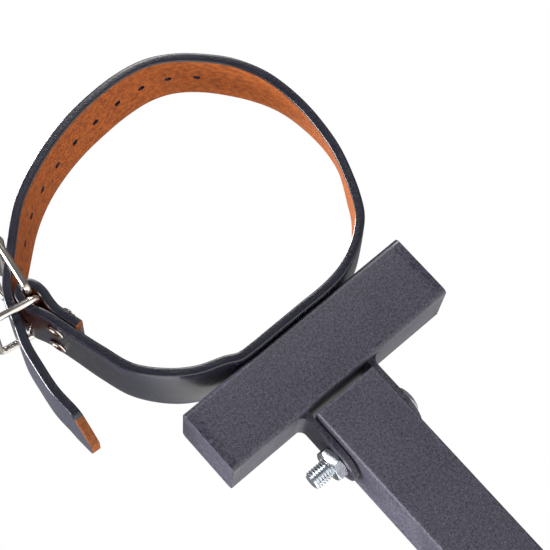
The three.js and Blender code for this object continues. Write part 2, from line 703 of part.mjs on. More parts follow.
function pivotEar(side) {
  const root = new THREE.Shape();
  root.moveTo(earInside, -earWide / 2);
  root.lineTo(earOutside, -earWide / 2);
  const rootHigh = crossbarLow - touch;
  root.absarc(earOutside + filletSize, rootHigh - filletSize, filletSize, Math.PI, Math.PI / 2, true);
  root.lineTo(earInside, rootHigh);
  const plate = new THREE.Shape();
  plate.absarc(0, 0, earWide / 2, Math.PI, 2 * Math.PI);
  plate.lineTo(earWide / 2, crossbarLow);
  plate.lineTo(-earWide / 2, crossbarLow);
  const ear = common(slab(root, earWide, 'y'), slab(plate, 80, 'x'));
  const drilled = cut(ear, boltHole('x', 0, 40));
  return side > 0 ? drilled : drilled.rotateZ(Math.PI);
}

// A hole for one of the two screws that hold the strap on the crossbar.
function screwHole(fit, from, to, side) {
  return bar('z', screwSize / 2 + fit, from, to, [side * screwSpacing / 2, 0, 0]);
}

function crossbarTube() {
  const half = crossbarLength / 2 - capThick - touch;
  const tube = squareTube(crossbarSize, crossbarWall, crossbarCorner, -half, half).rotateY(Math.PI / 2);
  const holes = [-1, 1].map((side) => screwHole(0.1, 0, crossbarSize, side));
  return cut(tube, ...holes).translate(crossbarShift, 0, crossbarLow + crossbarSize / 2);
}

add(head, 'crossbar_tube', crossbarTube(), powderCoat);
for (const [which, side] of [['front', 1], ['rear', -1]]) {
  const cap = plug(crossbarSize, crossbarWall, capThick, crossbarCorner);
  const reach = side * (crossbarLength / 2 - capThick) + crossbarShift;
  cap.rotateY(-side * Math.PI / 2).translate(reach, 0, crossbarLow + crossbarSize / 2);
  add(head, `crossbar_cap_${which}`, cap, blackPlastic);
  add(head, `pivot_ear_${which}`, pivotEar(side), powderCoat);
}

// -- calf strap, drawn in (X, Z) from the middle of the crossbar's top --

const strapPlane = new THREE.Group();
strapPlane.position.set(crossbarShift, 0, crossbarTop);
head.add(strapPlane);

const calfFold = { at: calfHinge, degrees: 104.7 };
const calfBuckle = { at: calfHinge, degrees: 82 };
const calfKeeper = { at: placed(keeperBar, calfFold), degrees: 170 };
const strapLow = seat + strapThick / 2;
const calfOver = calfHinge[0] - overFold;

// Down from the fold to the crossbar, then up round the calf and down outside the fold.
// The third value is the roll.
const calfRoute = foldedRoute(calfFold, [
  [-64, 39.5, -1], [-59.5, 26.5, -1], [-50, 15, -2.8], [-40.6, 8.4, -3.5], [-29.8, 4.8, -2],
  [-24.5, strapLow + 0.5], [-18, strapLow], [-8, strapLow], [8, strapLow], [20, strapLow],
  [30, 3.5, -0.5], [37.4, 6, -1], [45, 10, -1.8], [52.2, 16.1, -2.5], [58.3, 24.4, -6.2], [61.7, 31.2, -7.9],
  [64.6, 37.4, -9.9], [67.6, 45.3, -12.5], [69.5, 56.4, -13.2], [69.7, 68.1, -11.8], [68.1, 80.5, -9.8],
  [64.7, 90.7, -6.6], [57.7, 102.5, -3.6], [48.7, 112.5, -3.3], [39.3, 119.7, -1.9], [29, 124, 1],
  [16.3, 125.6, 3.4], [1.5, 125, 4.5], [-10.8, 123.3, 4.5], [-22.8, 120.2, 4.3], [-33.2, 116.3, 4.3],
  [-42.7, 111.5, 5.1], [-50.2, 106.5, 5.7], [-64.3, 93.8, 4], [calfOver + 7.4, 87.2, 2],
  [calfOver + 2.5, 81.7, 0.4], [calfOver + 0.1, 76.3], [calfOver - 1.7, 70.5], [calfOver - 5.3, 60.2],
  [calfOver - 6.9, 51], [calfOver - 8.4, 39], [calfOver - 8.1, 27], [calfOver - 8.9, 14.5]]);

function calfStrap() {
  const holes = [-1, 1].map((side) => screwHole(0.15, -2, 2 * strapThick, side));
  const punched = punchCuts(calfRoute, calfBuckle, punchCount);
  const strap = ribbon(calfRoute, strapWide, strapThick, 4);
  return cut(strap, ...foldCuts(calfFold, strapWide), ...punched, ...holes);
}

add(strapPlane, 'calf_strap', calfStrap(), leather);
addFoldRivets(strapPlane, 'calf', strapWide, calfFold);
addBuckle(strapPlane, 'calf', strapWide, calfBuckle, calfKeeper);
for (const [which, side] of [['front', 1], ['rear', -1]]) {
  const long = strapThick + 2 * seat + crossbarWall + 3;
  const screw = domeBolt(long, screwSize, 10, 2.2).rotateY(-Math.PI / 2);
  screw.translate(side * screwSpacing / 2, 0, strapLow + strapThick / 2 + seat);
  add(strapPlane, `strap_screw_${which}`, screw, zinc);
}

export default spur;
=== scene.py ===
import math

import bmesh
import bpy
from mathutils import Matrix, Vector


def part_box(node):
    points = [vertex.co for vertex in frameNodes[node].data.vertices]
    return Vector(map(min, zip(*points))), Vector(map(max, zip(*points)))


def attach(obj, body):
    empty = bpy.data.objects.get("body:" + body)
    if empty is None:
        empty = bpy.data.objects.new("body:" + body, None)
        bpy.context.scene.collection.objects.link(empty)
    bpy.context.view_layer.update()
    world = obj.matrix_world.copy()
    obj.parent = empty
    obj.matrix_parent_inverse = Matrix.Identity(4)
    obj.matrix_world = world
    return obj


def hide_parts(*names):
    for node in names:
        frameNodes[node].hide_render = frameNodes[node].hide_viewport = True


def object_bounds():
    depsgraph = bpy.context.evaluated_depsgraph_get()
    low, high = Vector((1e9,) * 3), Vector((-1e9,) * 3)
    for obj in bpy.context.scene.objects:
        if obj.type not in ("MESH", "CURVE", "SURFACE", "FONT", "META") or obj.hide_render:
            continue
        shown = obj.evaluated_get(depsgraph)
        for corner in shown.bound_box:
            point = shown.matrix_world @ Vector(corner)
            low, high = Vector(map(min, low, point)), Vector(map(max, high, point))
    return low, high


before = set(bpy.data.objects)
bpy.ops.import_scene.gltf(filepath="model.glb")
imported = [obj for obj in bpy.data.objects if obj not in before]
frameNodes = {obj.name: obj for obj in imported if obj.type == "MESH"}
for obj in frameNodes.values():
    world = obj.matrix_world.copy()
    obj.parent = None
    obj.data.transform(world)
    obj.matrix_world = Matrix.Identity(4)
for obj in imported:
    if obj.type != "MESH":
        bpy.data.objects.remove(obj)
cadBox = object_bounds()
mm = 0.001

# Lengths below are in millimetres; a finished mesh is scaled to metres as it is placed.
print("stage: tools for meshes")


def boxOf(node):
    low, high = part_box(node)
    return Vector(low) / mm, Vector(high) / mm


def middleOf(node):
    low, high = boxOf(node)
    return (low + high) / 2


def linked(name, mesh):
    piece = bpy.data.objects.new(name, mesh)
    bpy.context.scene.collection.objects.link(piece)
    return piece


def shaded(mesh, sharpAngle=32):
    for face in mesh.polygons:
        face.use_smooth = True
    mesh.set_sharp_from_angle(angle=math.radians(sharpAngle))


def meshOf(bm, name, sharpAngle=32):
    mesh = bpy.data.meshes.new(name)
    bm.to_mesh(mesh)
    bm.free()
    shaded(mesh, sharpAngle)
    return mesh


# Gives a piece its body, finish and the frame nodes it stands for.
def finished(piece, body, material, replaced):
    piece.data.materials.clear()
    piece.data.materials.append(material)
    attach(piece, body)
    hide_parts(*replaced)
    return piece


def softenEdges(piece, width, segments=2, angle=35):
    step = piece.modifiers.new("soft edges", "BEVEL")
    step.width = width * mm
    step.segments = segments
    step.limit_method = "ANGLE"
    step.angle_limit = math.radians(angle)
    step.harden_normals = True
    return piece


def placedMesh(mesh, matrix):
    mesh.transform(Matrix.Scale(mm, 4) @ matrix)
    return mesh


def carve(piece, tool, operation="DIFFERENCE"):
    step = piece.modifiers.new("carve", "BOOLEAN")
    step.operation = operation
    step.solver = "EXACT"
    step.object = tool
    graph = bpy.context.evaluated_depsgraph_get()
    ready = bpy.data.meshes.new_from_object(piece.evaluated_get(graph))
    piece.modifiers.remove(step)
    piece.data = ready
    bpy.data.objects.remove(tool)
    return piece


# A turned shape about Z from (radius, height) points.
def turned(profile, steps=48):
    bm = bmesh.new()
    chain = [bm.verts.new((radius, 0, height)) for radius, height in profile]
    edges = [bm.edges.new(pair) for pair in zip(chain, chain[1:])]
    bmesh.ops.spin(bm, geom=chain + edges, cent=(0, 0, 0), axis=(0, 0, 1),
                   angle=2 * math.pi, steps=steps, use_merge=True, use_duplicate=False)
    bmesh.ops.remove_doubles(bm, verts=bm.verts, dist=1e-4)
    bmesh.ops.recalc_face_normals(bm, faces=bm.faces)
    return bm


# A closed section carried along stations; each face keeps how far along and round it lies.
def swept(section, stations, runs, closed=False, capEnds=True):
    bm = bmesh.new()
    along = bm.verts.layers.float.new("along")
    girth = bm.verts.layers.float.new("girth")
    ring = [bm.verts.new(stations[0] @ Vector((across, out, 0))) for across, out in section]
    total = 0.0
    for index, vertex in enumerate(ring):
        vertex[along] = runs[0]
        vertex[girth] = total
        here = Vector(section[index])
        total += (Vector(section[(index + 1) % len(section)]) - here).length
    edges = [bm.edges.new((ring[i], ring[(i + 1) % len(ring)])) for i in range(len(ring))]
    firstEdges = edges
    for before, after, run in zip(stations, stations[1:], runs[1:]):
        made = bmesh.ops.extrude_edge_only(bm, edges=edges)["geom"]
        moved = [item for item in made if isinstance(item, bmesh.types.BMVert)]
        fresh = set(moved)
        edges = [item for item in made if isinstance(item, bmesh.types.BMEdge)
                 and item.verts[0] in fresh and item.verts[1] in fresh]
        bmesh.ops.transform(bm, matrix=after @ before.inverted(), verts=moved)
        for vertex in moved:
            vertex[along] = run
    if closed:
        bmesh.ops.bridge_loops(bm, edges=firstEdges + edges)
    elif capEnds:
        bmesh.ops.contextual_create(bm, geom=firstEdges)
        bmesh.ops.contextual_create(bm, geom=edges)
    bmesh.ops.recalc_face_normals(bm, faces=bm.faces)
    uv = bm.loops.layers.uv.new("strap")
    for face in bm.faces:
        furthest = max(loop.vert[girth] for loop in face.loops)
        for loop in face.loops:
            value = loop.vert[girth]
            if furthest > total / 2 and value < 1e-6 and len(face.verts) == 4:
                value = total
            loop[uv].uv = (loop.vert[along] * mm, value * mm)
    return bm, total


# A smooth run through points, the same as the frame's own routes.
def smoothRun(points, pitch, closed=False):
    points = [Vector(point) for point in points]
    first = points[0] * 2 - points[1]
    last = points[-1] * 2 - points[-2]
    whole = [first, *points, last]
    dense = []
    for index in range(1, len(whole) - 2):
        four = whole[index - 1:index + 3]
        gaps = [max((b - a).length, 1e-4) ** 0.5 for a, b in zip(four, four[1:])]
        rise = curveSlope(four[0], four[1], four[2], gaps[0], gaps[1]) * gaps[1]
        fall = curveSlope(four[1], four[2], four[3], gaps[1], gaps[2]) * gaps[1]
        for step in range(12):
            dense.append(hermite(four[1], four[2], rise, fall, step / 12))
    dense.append(points[-1])
    return evenly(dense, pitch)


def curveSlope(a, b, c, before, after):
    return (b - a) / before - (c - a) / (before + after) + (c - b) / after


def hermite(start, end, rise, fall, t):
    cubic = 2 * start - 2 * end + rise + fall
    square = -3 * start + 3 * end - 2 * rise - fall
    return cubic * t ** 3 + square * t ** 2 + rise * t + start


def evenly(dense, pitch):
    lengths = [0.0]
    for a, b in zip(dense, dense[1:]):
        lengths.append(lengths[-1] + Vector((b - a)[:2] if len(a) < 4 else (b - a)[:3]).length)
    count = max(2, round(lengths[-1] / pitch))
    found = []
    at = 0
    for index in range(count + 1):
        target = lengths[-1] * index / count
        while at < len(lengths) - 2 and lengths[at + 1] < target:
            at += 1
        part = (target - lengths[at]) / max(lengths[at + 1] - lengths[at], 1e-9)
        found.append((dense[at].lerp(dense[at + 1], part), target))
    return found


# Frames along a strap's route of (u, z, roll) points: its width across Y, its grain side right of the run.
def strapFrames(route, pitch):
    spots = smoothRun([(u, z, (rest or [0])[0]) for u, z, *rest in route], pitch)
    frames = []
    for index, (spot, run) in enumerate(spots):
        before = spots[max(index - 1, 0)][0]
        after = spots[min(index + 1, len(spots) - 1)][0]
        way = Vector((after.x - before.x, 0, after.y - before.y)).normalized()
        out = Vector((-way.z, 0, way.x))
        roll = math.radians(spot.z)
        across = -(Vector((0, math.cos(roll), 0)) + out * math.sin(roll))
        face = Vector((0, math.sin(roll), 0)) - out * math.cos(roll)
        frames.append(axesMatrix(across, face, way, Vector((spot.x, 0, spot.y))))
    return frames, [run for _, run in spots]


def axesMatrix(x, y, z, place):
    matrix = Matrix((x, y, z)).transposed().to_4x4()
    matrix.translation = place
    return matrix


# Frames along a bent wire in three dimensions, without twist.
def wireFrames(points, closed=False):
    frames = []
    count = len(points)
    side = None
    for index, point in enumerate(points):
        before = points[(index - 1) % count] if closed else points[max(index - 1, 0)]
        after = points[(index + 1) % count] if closed else points[min(index + 1, count - 1)]
        way = (after - before).normalized()
        if side is None:
            side = way.orthogonal().normalized()
        side = (side - way * side.dot(way)).normalized()
        frames.append(axesMatrix(side, way.cross(side), way, point))
    return frames


def circle(radius, steps=18):
    return [(radius * math.cos(2 * math.pi * i / steps), radius * math.sin(2 * math.pi * i / steps))
            for i in range(steps)]


def wirePiece(points, radius, closed=False, steps=18):
    frames = wireFrames(points, closed)
    runs = [0.0]
    for a, b in zip(points, points[1:]):
        runs.append(runs[-1] + (b - a).length)
    bm, _ = swept(circle(radius, steps), frames, runs, closed=closed)
    return bm


# A round-cornered rectangle in the XY plane as a closed run of points.
def loopPoints(long, wide, corner, steps=8):
    points = []
    centres = [(corner, wide / 2 - corner, 1), (corner, corner - wide / 2, 2),
               (long - corner, corner - wide / 2, 3), (long - corner, wide / 2 - corner, 0)]
    for x, y, quarter in centres:
        for step in range(steps + 1):
            turn = (quarter + step / steps) * math.pi / 2
            points.append(Vector((x + corner * math.cos(turn), y + corner * math.sin(turn), 0)))
    return points


# Turns local (u, y, n) about a buckle's hinge bar into its strap's plane.
def hingeMatrix(at, degrees):
    turn = math.radians(degrees)
    return Matrix.Translation((at[0], 0, at[1])) @ Matrix.Rotation(-turn, 4, "Y")


print("stage: shared shader groups")


def put(tree, kind, **settings):
    node = tree.nodes.new(kind)
    for name, value in settings.items():
        setattr(node, name, value)
    return node


def feed(tree, socket, value):
    if isinstance(value, bpy.types.NodeSocket):
        tree.links.new(value, socket)
    elif value is not None:
        socket.default_value = value


def calc(tree, operation, first, second=None, third=None, clamp=False):
    node = put(tree, "ShaderNodeMath", operation=operation, use_clamp=clamp)
    for socket, value in zip(node.inputs, (first, second, third)):
        feed(tree, socket, value)
    return node.outputs[0]


def between(tree, value, low, high, fromValue=0.0, toValue=1.0):
    node = put(tree, "ShaderNodeMapRange", clamp=True)
    for socket, item in zip(node.inputs, (value, low, high, fromValue, toValue)):
        feed(tree, socket, item)
    return node.outputs[0]


def blendColour(tree, factor, first, second, mode="MIX"):
    node = put(tree, "ShaderNodeMix", data_type="RGBA", blend_type=mode)
    feed(tree, node.inputs[0], factor)
    feed(tree, node.inputs[6], first)
    feed(tree, node.inputs[7], second)
    return node.outputs[2]


def noise(tree, vector, scale, detail=3.0, roughness=0.55):
    node = put(tree, "ShaderNodeTexNoise")
    feed(tree, node.inputs["Vector"], vector)
    feed(tree, node.inputs["Scale"], scale)
    feed(tree, node.inputs["Detail"], detail)
    feed(tree, node.inputs["Roughness"], roughness)
    return node.outputs["Fac"]


def stretched(tree, vector, scale):
    node = put(tree, "ShaderNodeMapping")
    feed(tree, node.inputs["Vector"], vector)
    node.inputs["Scale"].default_value = scale
    return node.outputs[0]


def makeGroup(name, inputs, outputs):
    tree = bpy.data.node_groups.new(name, "ShaderNodeTree")
    for label, kind, value in inputs:
        socket = tree.interface.new_socket(name=label, in_out="INPUT", socket_type=kind)
        if value is not None:
            socket.default_value = value
    for label, kind in outputs:
        tree.interface.new_socket(name=label, in_out="OUTPUT", socket_type=kind)
    return tree, put(tree, "NodeGroupInput"), put(tree, "NodeGroupOutput")


def useGroup(tree, group, **values):
    node = put(tree, "ShaderNodeGroup", node_tree=group)
    for label, value in values.items():
        feed(tree, node.inputs[label], value)
    return node


# Sprayed and baked powder: fine pits, a few coarse ones, and pale specks.
def powderGroup():
    tree, source, target = makeGroup("powder texture", [("Vector", "NodeSocketVector", None),
        ("Grain", "NodeSocketFloat", 1900.0), ("Specks", "NodeSocketFloat", 0.5)],
        [("Height", "NodeSocketFloat"), ("Speck", "NodeSocketFloat"), ("Cloud", "NodeSocketFloat")])
    vector = source.outputs["Vector"]
    fine = noise(tree, vector, source.outputs["Grain"], 2.0, 0.7)
    coarse = noise(tree, vector, calc(tree, "MULTIPLY", source.outputs["Grain"], 0.42), 2.0)
    height = calc(tree, "ADD", calc(tree, "MULTIPLY", fine, 0.65), calc(tree, "MULTIPLY", coarse, 0.35))
    dots = put(tree, "ShaderNodeTexVoronoi", feature="F1")
    feed(tree, dots.inputs["Vector"], vector)
    feed(tree, dots.inputs["Scale"], calc(tree, "MULTIPLY", source.outputs["Grain"], 0.55))
    near = between(tree, dots.outputs["Distance"], 0.12, 0.32, 1.0, 0.0)
    picked = between(tree, noise(tree, vector, 900.0, 1.0), 0.54, 0.62)
    speck = calc(tree, "MULTIPLY", calc(tree, "MULTIPLY", near, picked), source.outputs["Specks"])
    cloud = noise(tree, vector, 45.0, 4.0)
    for label, value in (("Height", height), ("Speck", speck), ("Cloud", cloud)):
        tree.links.new(value, target.inputs[label])
    return tree


# Where an edge is rubbed: the rounded normal leaves the true one there.
def wearGroup():
    tree, source, target = makeGroup("edge wear", [("Vector", "NodeSocketVector", None),
        ("Radius", "NodeSocketFloat", 0.0006), ("Breakup", "NodeSocketFloat", 300.0)],
        [("Mask", "NodeSocketFloat")])
    rounded = put(tree, "ShaderNodeBevel", samples=4)
    feed(tree, rounded.inputs["Radius"], source.outputs["Radius"])
    shape = put(tree, "ShaderNodeNewGeometry")
    facing = put(tree, "ShaderNodeVectorMath", operation="DOT_PRODUCT")
    tree.links.new(rounded.outputs["Normal"], facing.inputs[0])
    tree.links.new(shape.outputs["Normal"], facing.inputs[1])
    turned = between(tree, facing.outputs["Value"], 0.985, 0.86)
    patchy = between(tree, noise(tree, source.outputs["Vector"], source.outputs["Breakup"], 4.0), 0.38, 0.62)
    tree.links.new(calc(tree, "MULTIPLY", turned, patchy), target.inputs["Mask"])
    return tree


# Pebbled hide grain with pores and long creases.
def hideGroup():
    tree, source, target = makeGroup("hide grain", [("Vector", "NodeSocketVector", None),
        ("Scale", "NodeSocketFloat", 1500.0)], [("Height", "NodeSocketFloat"), ("Pores", "NodeSocketFloat")])
    vector = source.outputs["Vector"]
    cells = put(tree, "ShaderNodeTexVoronoi", feature="F1")
    feed(tree, cells.inputs["Vector"], vector)
    feed(tree, cells.inputs["Scale"], source.outputs["Scale"])
    ripple = noise(tree, vector, calc(tree, "MULTIPLY", source.outputs["Scale"], 0.3), 5.0, 0.6)
    height = calc(tree, "ADD", calc(tree, "MULTIPLY", cells.outputs["Distance"], -0.5),
                  calc(tree, "MULTIPLY", ripple, 0.9))
    pores = between(tree, noise(tree, vector, calc(tree, "MULTIPLY", source.outputs["Scale"], 0.8), 2.0), 0.6, 0.72)
    tree.links.new(height, target.inputs["Height"])
    tree.links.new(pores, target.inputs["Pores"])
    return tree


# Fine scratches and smudges on bright metal.
def metalGroup():
    tree, source, target = makeGroup("metal handling", [("Vector", "NodeSocketVector", None),
        ("Scale", "NodeSocketFloat", 900.0)], [("Smudge", "NodeSocketFloat"), ("Scratch", "NodeSocketFloat")])
    vector = source.outputs["Vector"]
    smudge = noise(tree, vector, calc(tree, "MULTIPLY", source.outputs["Scale"], 0.25), 5.0, 0.6)
    lines = noise(tree, stretched(tree, vector, (1.0, 1.0, 0.08)), source.outputs["Scale"], 3.0, 0.7)
    tree.links.new(smudge, target.inputs["Smudge"])
    tree.links.new(lines, target.inputs["Scratch"])
    return tree


powderTexture = powderGroup()
edgeWear = wearGroup()
hideGrain = hideGroup()
metalHandling = metalGroup()


def newMaterial(name):
    material = bpy.data.materials.new(name)
    material.use_nodes = True
    tree = material.node_tree
    tree.nodes.clear()
    shader = put(tree, "ShaderNodeBsdfPrincipled")
    output = put(tree, "ShaderNodeOutputMaterial")
    tree.links.new(shader.outputs[0], output.inputs[0])
    place = put(tree, "ShaderNodeTexCoord")
    return material, tree, shader, place.outputs["Object"]


def bumped(tree, shader, height, strength, distance):
    node = put(tree, "ShaderNodeBump")
    node.inputs["Strength"].default_value = strength
    node.inputs["Distance"].default_value = distance
    tree.links.new(height, node.inputs["Height"])
    tree.links.new(node.outputs[0], shader.inputs["Normal"])


print("stage: materials")

powderLook = {
    "colour": (0.007, 0.006, 0.012, 1),
    "light": (0.086, 0.079, 0.115, 1),
    "speck": (0.14, 0.13, 0.17, 1),
    "worn": (0.12, 0.115, 0.14, 1),
    "grain": 2100.0,
    "bump": 0.5,
    "bumpDeep": 0.00012,
    "rough": (0.42, 0.6),
}


def powderMaterial(name, look):
    material, tree, shader, where = newMaterial(name)
    texture = useGroup(tree, powderTexture, Vector=where, Grain=look["grain"], Specks=0.55)
    wear = useGroup(tree, edgeWear, Vector=where, Radius=0.0005, Breakup=420.0)
    height = texture.outputs["Height"]
    colour = blendColour(tree, between(tree, height, 0.4, 0.66), look["colour"], look["light"])
    colour = blendColour(tree, texture.outputs["Speck"], colour, look["speck"])
    colour = blendColour(tree, calc(tree, "MULTIPLY", wear.outputs["Mask"], 0.5), colour, look["worn"])
    tree.links.new(colour, shader.inputs["Base Color"])
    low, high = look["rough"]
    tree.links.new(between(tree, texture.outputs["Cloud"], 0.35, 0.65, low, high), shader.inputs["Roughness"])
    bumped(tree, shader, height, look["bump"], look["bumpDeep"])
    return material


plugLook = {
    "colour": (0.007, 0.006, 0.012, 1),
    "light": (0.080, 0.074, 0.106, 1),
    "speck": (0.13, 0.12, 0.15, 1),
    "worn": (0.10, 0.10, 0.12, 1),
    "grain": 2000.0,
    "bump": 0.35,
    "bumpDeep": 0.00008,
    "rough": (0.32, 0.5),
}

metalLooks = {
    "zinc": {"colour": (0.66, 0.69, 0.73, 1), "dark": (0.30, 0.32, 0.36, 1), "rough": (0.16, 0.36), "scale": 800.0},
    "nickel": {"colour": (0.62, 0.57, 0.52, 1), "dark": (0.26, 0.23, 0.20, 1), "rough": (0.10, 0.26), "scale": 700.0},
    "gaffSteel": {"colour": (0.34, 0.35, 0.37, 1), "dark": (0.14, 0.14, 0.15, 1), "rough": (0.28, 0.5), "scale": 500.0},
}


def metalMaterial(name, look):
    material, tree, shader, where = newMaterial(name)
    handling = useGroup(tree, metalHandling, Vector=where, Scale=look["scale"])
    wear = useGroup(tree, edgeWear, Vector=where, Radius=0.0003, Breakup=700.0)
    stained = between(tree, handling.outputs["Smudge"], 0.42, 0.72)
    colour = blendColour(tree, calc(tree, "MULTIPLY", stained, 0.55), look["colour"], look["dark"])
    colour = blendColour(tree, calc(tree, "MULTIPLY", wear.outputs["Mask"], 0.6), colour, (0.8, 0.8, 0.8, 1))
    tree.links.new(colour, shader.inputs["Base Color"])
    shader.inputs["Metallic"].default_value = 1.0
    low, high = look["rough"]
    tree.links.new(between(tree, handling.outputs["Smudge"], 0.3, 0.7, low, high), shader.inputs["Roughness"])
    bumped(tree, shader, handling.outputs["Scratch"], 0.12, 0.00006)
    return material


leatherLook = {
    "grain": (0.005, 0.005, 0.011, 1),
    # Pale speckle colour: partly the hide's own lighter grain, partly painted glints standing in for highlights on the
    # grain.
    "paleGrainAndGlints": (0.055, 0.053, 0.088, 1),
    "edge": (0.005, 0.005, 0.011, 1),
    "suede": (0.36, 0.090, 0.012, 1),
    "suedeDark": (0.17, 0.038, 0.005, 1),
    "rawCut": (0.24, 0.085, 0.032, 1),
}


# Grain outside speckled with pale grain and painted glints, suede inside and painted edges, told apart by how far round
# the section a point lies.
def leatherMaterial(name, look, zones, total, rawRuns, wide):
    material, tree, shader, where = newMaterial(name)
    layout = put(tree, "ShaderNodeUVMap", uv_map="strap")
    parts = put(tree, "ShaderNodeSeparateXYZ")
    tree.links.new(layout.outputs[0], parts.inputs[0])
    run, girth = parts.outputs[0], parts.outputs[1]
    soft = 0.00012
    innerStart, innerEnd = zones["inner"]
    outerStart, outerEnd = zones["outer"]
    inner = calc(tree, "MULTIPLY", between(tree, girth, innerStart * mm - soft, innerStart * mm + soft),
                 between(tree, girth, innerEnd * mm + soft, innerEnd * mm - soft))
    outer = calc(tree, "MULTIPLY", between(tree, girth, outerStart * mm - soft, outerStart * mm + soft),
                 between(tree, girth, outerEnd * mm + soft, outerEnd * mm - soft))
    hide = useGroup(tree, hideGrain, Vector=where, Scale=1700.0)
    blotch = noise(tree, where, 60.0, 5.0, 0.6)
    fibre = noise(tree, where, 2600.0, 4.0, 0.75)
    mottle = noise(tree, where, 420.0, 5.0, 0.7)
    # Grain side: dark hide speckled with the pale colour, which is partly grain tone and partly painted glints.
    grain = blendColour(tree, between(tree, fibre, 0.42, 0.66), look["grain"], look["paleGrainAndGlints"])
    suedeTone = calc(tree, "ADD", calc(tree, "MULTIPLY", mottle, 0.6), calc(tree, "MULTIPLY", fibre, 0.4))
    suede = blendColour(tree, between(tree, suedeTone, 0.42, 0.58), look["suedeDark"], look["suede"])
    # Edge band: dark edge paint speckled with the same pale colour, partly painted glints along the edge.
    edgeToneWithGlints = blendColour(tree, between(tree, fibre, 0.5, 0.8), look["edge"], look["paleGrainAndGlints"])
    raw = blendColour(tree, between(tree, suedeTone, 0.4, 0.6), look["suedeDark"], look["rawCut"])
    rawMask = None
    for low, high in rawRuns:
        band = calc(tree, "MULTIPLY", between(tree, run, low * mm - soft, low * mm + soft),
                    between(tree, run, high * mm + soft, high * mm - soft))
        rawMask = band if rawMask is None else calc(tree, "MAXIMUM", rawMask, band)
    edgeColour = blendColour(tree, rawMask, edgeToneWithGlints, raw)
    colour = blendColour(tree, outer, blendColour(tree, inner, edgeColour, suede), grain)
    tree.links.new(colour, shader.inputs["Base Color"])
    bare = calc(tree, "MAXIMUM", inner, calc(tree, "MULTIPLY", rawMask, calc(tree, "SUBTRACT", 1.0, outer)))
    shine = between(tree, blotch, 0.3, 0.7, 0.24, 0.42)
    rough = calc(tree, "ADD", calc(tree, "MULTIPLY", shine, calc(tree, "SUBTRACT", 1.0, bare)),
                 calc(tree, "MULTIPLY", bare, 0.88))
    tree.links.new(rough, shader.inputs["Roughness"])
    tree.links.new(calc(tree, "MULTIPLY", calc(tree, "SUBTRACT", 1.0, bare), 0.6), shader.inputs["Coat Weight"])
    shader.inputs["Coat Roughness"].default_value = 0.16
    shader.inputs["Specular IOR Level"].default_value = 0.25
    rough = calc(tree, "ADD", calc(tree, "MULTIPLY", hide.outputs["Height"], calc(tree, "SUBTRACT", 1.0, bare)),
                 calc(tree, "MULTIPLY", calc(tree, "MULTIPLY", suedeTone, 2.2), bare))
    bumped(tree, shader, rough, 0.75, 0.00022)
    return material


powder = powderMaterial("powder coat", powderLook)
plugPlastic = powderMaterial("moulded end plug", plugLook)
zinc = metalMaterial("zinc plate", metalLooks["zinc"])
nickel = metalMaterial("nickel plate", metalLooks["nickel"])
gaffSteel = metalMaterial("ground gaff steel", metalLooks["gaffSteel"])

print("stage: tubes, ears and stirrup")



# A merged copy of a frame node with its long flats joined and its edges eased.
def refined(node, body, material, ease, segments=2, angle=35):
    bm = bmesh.new()
    bm.from_mesh(frameNodes[node].data)
    bmesh.ops.remove_doubles(bm, verts=bm.verts, dist=1e-6)
    bmesh.ops.dissolve_limit(bm, angle_limit=math.radians(0.6), verts=bm.verts, edges=bm.edges)
    mesh = meshOf(bm, node, 40)
    piece = linked(f"{node}_shaped", mesh)
    finished(piece, body, material, [node])
    return softenEdges(piece, ease, segments, angle)


shapedNodes = [
    ("crossbar_tube", "head", powder, "powder_coat", 0.35),
    ("pivot_ear_front", "head", powder, "powder_coat", 0.35),
    ("pivot_ear_rear", "head", powder, "powder_coat", 0.35),
    ("crossbar_cap_front", "head", plugPlastic, "plug_black", 0.7),
    ("crossbar_cap_rear", "head", plugPlastic, "plug_black", 0.7),
    ("shank_tube", "shank", powder, "powder_coat", 0.35),
    ("shank_plug", "shank", plugPlastic, "plug_black", 0.4),
    ("lower_shank", "foot", powder, "powder_coat", 0.3),
    ("lower_shank_plug", "foot", plugPlastic, "plug_black", 0.5),
    ("stirrup", "foot", powder, "powder_coat", 0.4),
    ("gaff", "foot", gaffSteel, "gaff_steel", 0.5),
]
for node, body, material, slotName, ease in shapedNodes:
    refined(node, body, material, ease)

print("stage: bolts, nuts and washers")

hardware = {
    "boltRadius": 4.0,
    "pitch": 1.25,
    "threadDeep": 0.72,
    "headRadius": 7.0,
    "nutFlats": 13.0,
    "washerRadius": 8.0,
}


# Which way a fastener points: its local Z is turned to this axis.
def facingAxis(axis, place):
    way = Vector(axis)
    return Matrix.Translation(place) @ way.to_track_quat("Z", "Y").to_matrix().to_4x4()


